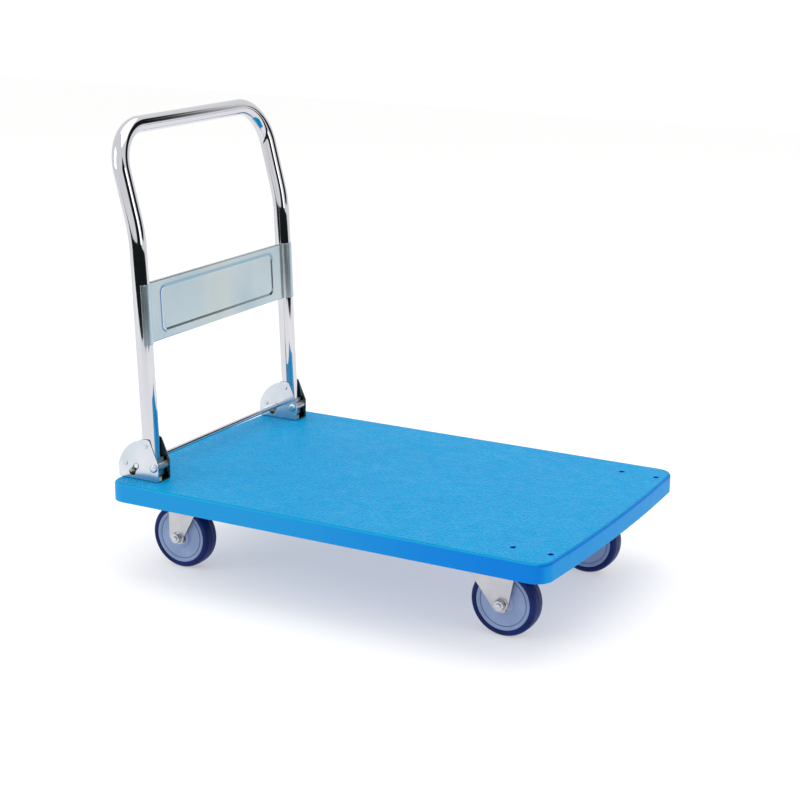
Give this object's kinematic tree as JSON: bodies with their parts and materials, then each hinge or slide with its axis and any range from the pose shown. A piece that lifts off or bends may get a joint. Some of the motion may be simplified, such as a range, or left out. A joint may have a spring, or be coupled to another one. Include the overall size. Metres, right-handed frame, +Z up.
{
  "type": "folding platform truck",
  "caption": "Flatbed platform truck with a ribbed plastic deck, a fold-down chromed push handle released by a foot bar, and swivel and rigid casters.",
  "frame": {"origin": "on the floor under the middle of the overall bounding box, handle upright", "axes": "+X towards the front end without a handle, +Y to the left of someone pushing, +Z up"},
  "size_m": [0.9185, 0.6, 0.8439],
  "materials": {
    "deck_plastic": "moulded polypropylene with a fine leather grain",
    "chrome_tube": "bright chrome plate",
    "zinc_sheet": "blue-passivated zinc plate",
    "bracket_plate": "bright plated pressed steel",
    "caster_zinc": "zinc plated pressed steel",
    "bar_chrome": "bright plated rod",
    "foot_steel": "plated forged steel",
    "fastener_zinc": "zinc plated",
    "spring_steel": "oiled spring steel",
    "bearing_steel": "ground steel",
    "insert_brass": "turned brass",
    "slip_nylon": "natural nylon",
    "tyre_rubber": "navy thermoplastic rubber",
    "hub_plastic": "moulded grey polypropylene"
  },
  "bodies": {
    "root": {"deck_shell": "deck_plastic", "bracket_left": "bracket_plate", "bracket_right": "bracket_plate", "pivot_pins": "fastener_zinc", "spacer_rivets": "fastener_zinc", "bracket_spacers": "fastener_zinc", "guide_pads": "slip_nylon", "pad_rivets": "fastener_zinc", "bracket_bolts": "fastener_zinc", "bracket_washers": "fastener_zinc", "bracket_nuts": "fastener_zinc", "release_springs": "spring_steel", "caster_bolts": "fastener_zinc", "caster_inserts": "insert_brass", "swivel_plate_left": "caster_zinc", "kingpin_left": "fastener_zinc", "rigid_fork_left": "caster_zinc", "axle_bolt_front_left": "fastener_zinc", "axle_nut_front_left": "fastener_zinc", "axle_sleeve_front_left": "bearing_steel", "swivel_plate_right": "caster_zinc", "kingpin_right": "fastener_zinc", "rigid_fork_right": "caster_zinc", "axle_bolt_front_right": "fastener_zinc", "axle_nut_front_right": "fastener_zinc", "axle_sleeve_front_right": "bearing_steel"},
    "handle": {"handle_tube": "chrome_tube", "back_panel": "zinc_sheet", "handle_foot_left": "foot_steel", "handle_foot_right": "foot_steel"},
    "foot_bar": {"release_bar": "bar_chrome", "bar_clips": "spring_steel"},
    "swivel_left": {"swivel_fork_left": "caster_zinc", "swivel_balls_left": "bearing_steel", "axle_bolt_rear_left": "fastener_zinc", "axle_nut_rear_left": "fastener_zinc", "axle_sleeve_rear_left": "bearing_steel"},
    "swivel_right": {"swivel_fork_right": "caster_zinc", "swivel_balls_right": "bearing_steel", "axle_bolt_rear_right": "fastener_zinc", "axle_nut_rear_right": "fastener_zinc", "axle_sleeve_rear_right": "bearing_steel"},
    "wheel_rear_left": {"tyre_rear_left": "tyre_rubber", "hub_rear_left": "hub_plastic", "wheel_bearings_rear_left": "bearing_steel"},
    "wheel_rear_right": {"tyre_rear_right": "tyre_rubber", "hub_rear_right": "hub_plastic", "wheel_bearings_rear_right": "bearing_steel"},
    "wheel_front_left": {"tyre_front_left": "tyre_rubber", "hub_front_left": "hub_plastic", "wheel_bearings_front_left": "bearing_steel"},
    "wheel_front_right": {"tyre_front_right": "tyre_rubber", "hub_front_right": "hub_plastic", "wheel_bearings_front_right": "bearing_steel"}
  },
  "joints": [
    {"name": "handle_fold", "type": "hinge", "parent": "root", "child": "handle", "pos_m": [-0.35665, 0, 0.212], "axis": [0, 1, 0], "range_deg": [0, 92.74]},
    {"name": "bar_release", "type": "slide", "parent": "root", "child": "foot_bar", "axis": [-0.5795, 0, -0.815], "range_m": [0, 0.01637], "stiffness_N_per_m": 900, "springref_m": -0.012, "deforming": ["release_springs"]},
    {"name": "swivel_left_turn", "type": "hinge", "parent": "root", "child": "swivel_left", "pos_m": [-0.31665, 0.18, 0.134], "axis": [0, 0, 1], "continuous": true},
    {"name": "swivel_right_turn", "type": "hinge", "parent": "root", "child": "swivel_right", "pos_m": [-0.31665, -0.18, 0.134], "axis": [0, 0, 1], "continuous": true},
    {"name": "wheel_rear_left_roll", "type": "hinge", "parent": "swivel_left", "child": "wheel_rear_left", "pos_m": [-0.34665, 0.18, 0.0625], "axis": [0, 1, 0], "continuous": true},
    {"name": "wheel_rear_right_roll", "type": "hinge", "parent": "swivel_right", "child": "wheel_rear_right", "pos_m": [-0.34665, -0.18, 0.0625], "axis": [0, 1, 0], "continuous": true},
    {"name": "wheel_front_left_roll", "type": "hinge", "parent": "root", "child": "wheel_front_left", "pos_m": [0.32735, 0.18, 0.0625], "axis": [0, 1, 0], "continuous": true},
    {"name": "wheel_front_right_roll", "type": "hinge", "parent": "root", "child": "wheel_front_right", "pos_m": [0.32735, -0.18, 0.0625], "axis": [0, 1, 0], "continuous": true}
  ]
}
